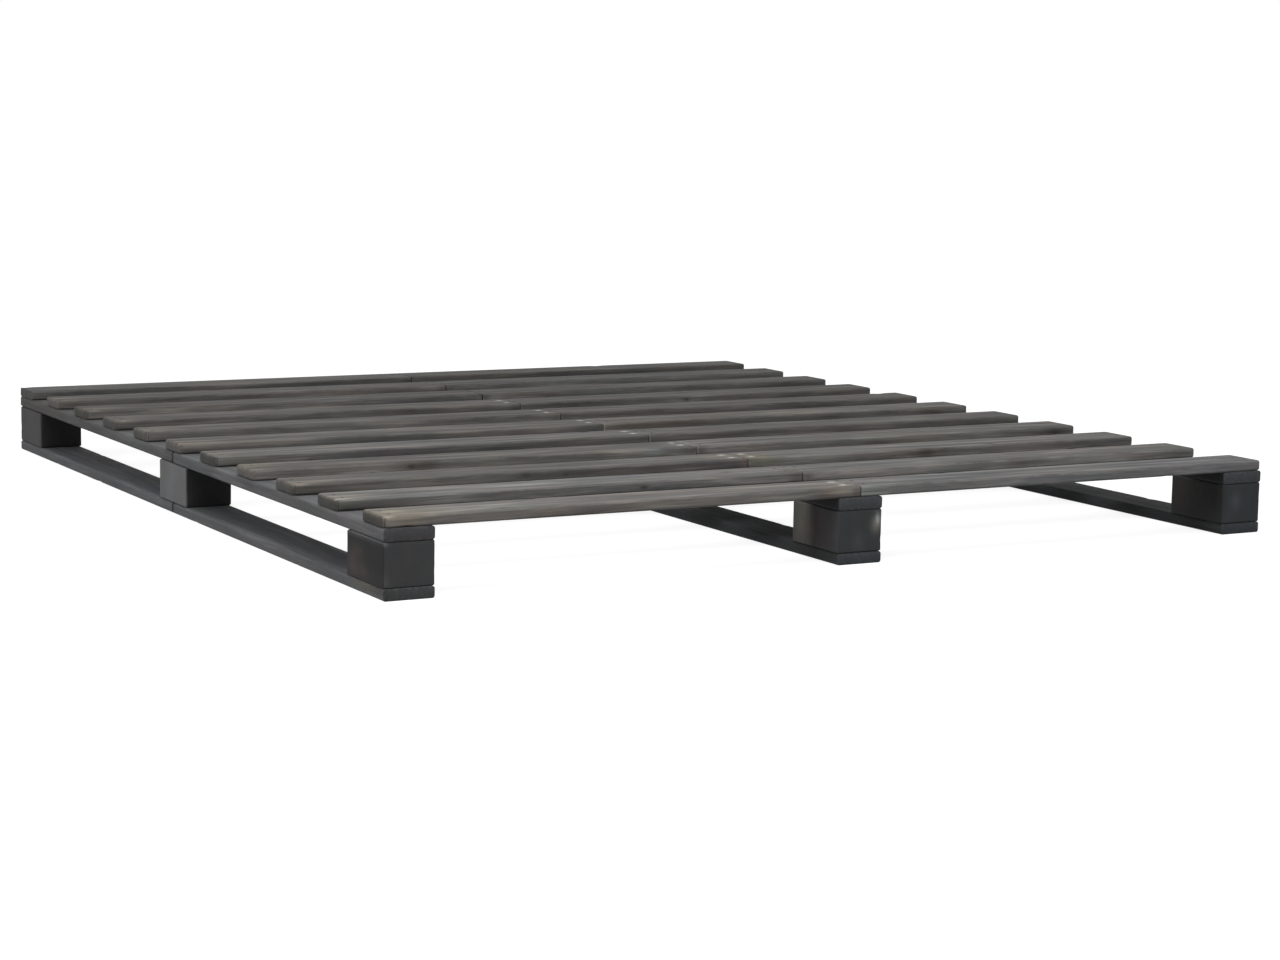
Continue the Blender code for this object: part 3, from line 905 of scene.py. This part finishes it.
def finishScrews(piece, finish, cover):
    field = piece.data.attributes.new("stainCover", "FLOAT", "POINT")
    field.data.foreach_set("value", cover)
    piece.data.shade_smooth()
    piece.data.set_sharp_from_angle(angle=math.radians(zincLook["sharpFrom"]))
    piece.data.materials.append(finish)
    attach(piece, "root")


def makeScrews():
    finish = zincPlatedSteel("Steel, zinc plated", zincLook)
    small = screwMesh(slatScrew)
    for node in slatNodes:
        draw = random.Random(node + " screws")
        places = slatScrewPlaces(node)
        stands = [Matrix.Translation(place) @ Matrix.Rotation(draw.uniform(0, math.pi), 4, "Z")
                  for place in places]
        piece = gathered(node.replace("slat", "slat_screws"), small, stands)
        cover = [draw.uniform(*zincLook["bareCover"]) if staysBare(node, place) else zincLook["cover"]
                 for place in places]
        finishScrews(piece, finish, np.repeat(cover, len(small.vertices)))
    large = screwMesh(skidScrew)
    for name, place in skidScrewPlaces().items():
        draw = random.Random(name + " skid screw")
        stand = Matrix.Translation(place) @ under @ Matrix.Rotation(draw.uniform(0, math.pi), 4, "Z")
        piece = gathered(f"skid_screw_{name}_steel", large, [stand])
        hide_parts(f"skid_screw_{name}")
        finishScrews(piece, finish, np.full(len(large.vertices), zincLook["skidCover"]))
    print("screws:", 4 * len(slatNodes), "in the slats and", len(skidScrewPlaces()), "in the skids")


# A plain pale studio. The floor and the world show white to the camera and in reflections,
# and the floor keeps the bed's shadow.
studio = {
    "worldLight": 0.38, "floorColour": "#bcbcbc", "floorGlow": 0.82, "floorShade": 0.6,
    "floorSize": 60, "floorGap": 0.0002,  # metres
    # each softbox: place, what it points at, size and watts
    "softboxes": {
        "key": ((-1.1, -1.5, 2.2), (-0.2, -0.9, 0.1), 2.0, 31),
        "fill": ((-4.6, -0.6, 1.5), (-0.6, 0, 0.1), 2.0, 5),
    },
}


# The rays that are to find the backdrop white: the camera's, and reflected and refracted ones
def whiteRays(tree):
    rays = addNode(tree, "LightPath").outputs
    seen = rays["Is Camera Ray"]
    for other in ("Is Glossy Ray", "Is Transmission Ray"):
        seen = addNode(tree, "Math", {0: seen, 1: rays[other]}, operation="MAXIMUM").outputs[0]
    return seen


def makeStudio():
    world = bpy.data.worlds.new("Studio")
    scene.world = world
    world.use_nodes = True
    tree = world.node_tree
    light = tree.nodes["Background"].inputs
    strength = addNode(tree, "MapRange", {0: whiteRays(tree), 3: studio["worldLight"], 4: 1})
    tree.links.new(strength.outputs[0], light["Strength"])
    light["Color"].default_value = (1, 1, 1, 1)

    bpy.ops.mesh.primitive_plane_add(size=studio["floorSize"], location=(0, 0, -studio["floorGap"]))
    floor = bpy.context.object
    floor.name = "floor"
    paper, tree, shader = newFinish("Paper backdrop, white")
    tree.nodes.remove(shader)
    shown = addNode(tree, "BsdfDiffuse", {"Color": (*[studio["floorShade"]] * 3, 1)})
    glow = addNode(tree, "Emission", {"Color": (1, 1, 1, 1), "Strength": studio["floorGlow"]})
    shown = addNode(tree, "AddShader", {0: shown.outputs[0], 1: glow.outputs[0]})
    bounce = addNode(tree, "BsdfDiffuse", {"Color": toLinear(studio["floorColour"])})
    either = addNode(tree, "MixShader", {0: whiteRays(tree), 1: bounce.outputs[0], 2: shown.outputs[0]})
    tree.links.new(either.outputs[0], tree.nodes["Material Output"].inputs["Surface"])
    floor.data.materials.append(paper)

    for name, (place, target, size, watts) in studio["softboxes"].items():
        lamp = bpy.data.lights.new(name, "AREA")
        lamp.shape = "SQUARE"
        lamp.size = size
        lamp.energy = watts
        softbox = bpy.data.objects.new(name, lamp)
        softbox.location = place
        aim = Vector(target) - Vector(place)
        softbox.rotation_euler = aim.to_track_quat("-Z", "Y").to_euler()
        scene.collection.objects.link(softbox)
    scene.view_settings.view_transform = "Standard"


# The camera stands at the front left, a little above the bed, and leans very slightly
camera = {
    "place": (-2.6546, -5.0363, 0.8255), "yaw": 28.772, "pitch": 8.086, "roll": 0.949,  # degrees
    "lens": 78.822, "sensor": 36,  # mm
    "sight": 200,  # metres
}


def makeCamera():
    lens = bpy.data.cameras.new("camera")
    lens.lens = camera["lens"]
    lens.sensor_width = camera["sensor"]
    lens.sensor_fit = "HORIZONTAL"
    lens.clip_end = camera["sight"]
    body = bpy.data.objects.new("camera", lens)
    turn = Matrix.Rotation(-math.radians(camera["yaw"]), 4, "Z")
    tip = Matrix.Rotation(math.radians(90 - camera["pitch"]), 4, "X")
    lean = Matrix.Rotation(math.radians(camera["roll"]), 4, "Z")
    body.matrix_world = Matrix.Translation(camera["place"]) @ turn @ tip @ lean
    scene.collection.objects.link(body)
    scene.camera = body


makeCamera()
makeStudio()
print("studio and camera")
makeSlats()
makeBoards()
makeBlocks()
makeScrews()
